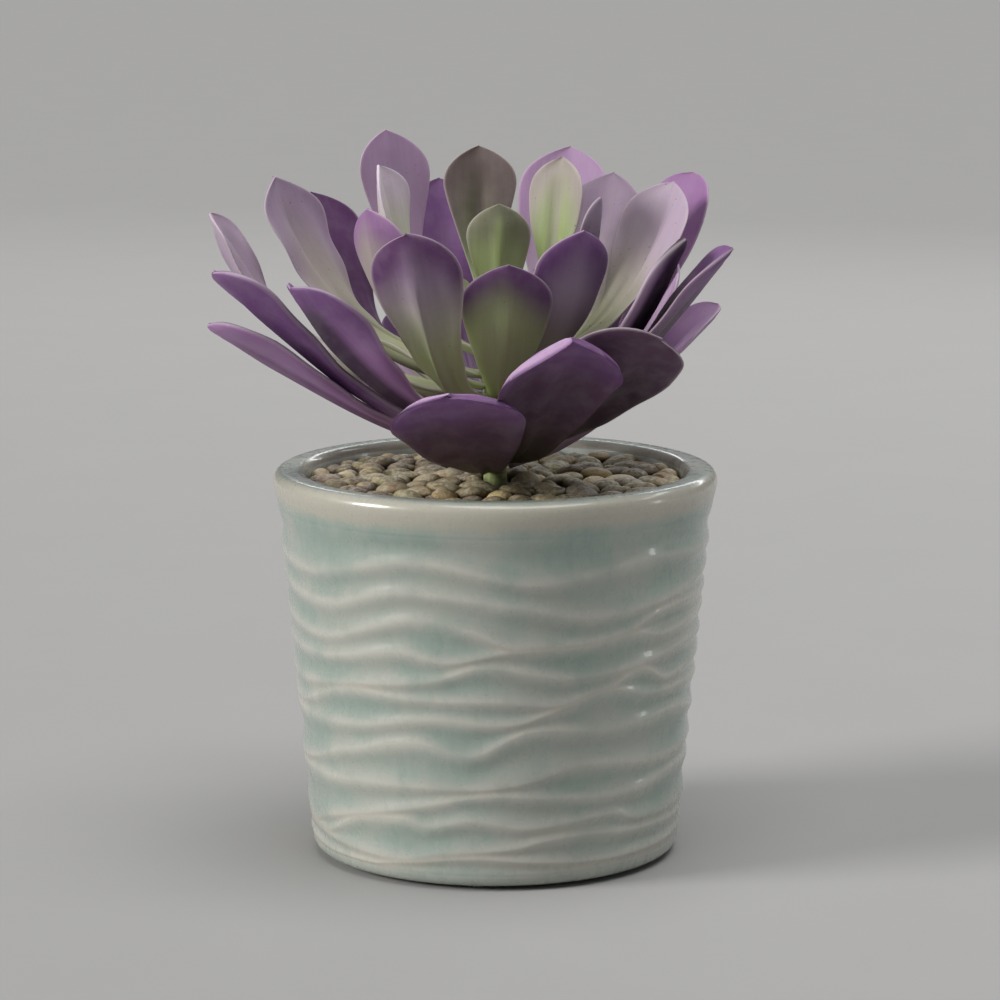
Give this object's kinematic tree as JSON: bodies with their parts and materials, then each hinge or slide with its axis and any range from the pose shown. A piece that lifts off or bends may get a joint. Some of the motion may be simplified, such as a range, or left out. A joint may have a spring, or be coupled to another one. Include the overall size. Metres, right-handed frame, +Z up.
{
  "type": "potted aeonium",
  "caption": "Small aeonium succulent with one short stem and a rosette of fleshy spoon-shaped leaves, planted in soil under pebbles in a ridged glazed ceramic pot.",
  "frame": {"origin": "on the pot's axis, in the plane that the pads under the pot stand on", "axes": "+Z up along the pot's axis; -Y to the front of the plant, +X to its right as seen from the front"},
  "size_m": [0.1401, 0.1215, 0.193],
  "materials": {
    "glaze": "glossy grey-green glaze that breaks pale on the ridges",
    "clear_pad": "clear soft pad",
    "soil": "dark crumbly potting mix",
    "pebbles": "tumbled, dusty on top",
    "stem": "green, satin",
    "leaf_purple": "purple, waxy satin",
    "leaf_mauve": "mauve over green, waxy satin",
    "leaf_green": "grey-green, waxy satin"
  },
  "bodies": {
    "root": {"pot": "glaze", "foot_pad_1": "clear_pad", "foot_pad_2": "clear_pad", "foot_pad_3": "clear_pad", "foot_pad_4": "clear_pad", "soil": "soil", "pebbles": "pebbles", "stem": "stem", "leaf_01": "leaf_purple", "leaf_02": "leaf_purple", "leaf_03": "leaf_purple", "leaf_04": "leaf_purple", "leaf_05": "leaf_purple", "leaf_06": "leaf_purple", "leaf_07": "leaf_purple", "leaf_08": "leaf_purple", "leaf_09": "leaf_purple", "leaf_10": "leaf_purple", "leaf_11": "leaf_purple", "leaf_12": "leaf_purple", "leaf_13": "leaf_purple", "leaf_14": "leaf_mauve", "leaf_15": "leaf_mauve", "leaf_16": "leaf_mauve", "leaf_17": "leaf_mauve", "leaf_18": "leaf_mauve", "leaf_19": "leaf_mauve", "leaf_20": "leaf_mauve", "leaf_21": "leaf_mauve", "leaf_22": "leaf_mauve", "leaf_23": "leaf_mauve", "leaf_24": "leaf_green", "leaf_25": "leaf_green", "leaf_26": "leaf_green", "leaf_27": "leaf_green", "leaf_28": "leaf_green", "leaf_29": "leaf_green", "leaf_30": "leaf_green", "leaf_31": "leaf_green", "leaf_32": "leaf_green", "leaf_33": "leaf_green", "leaf_34": "leaf_green"}
  },
  "joints": []
}
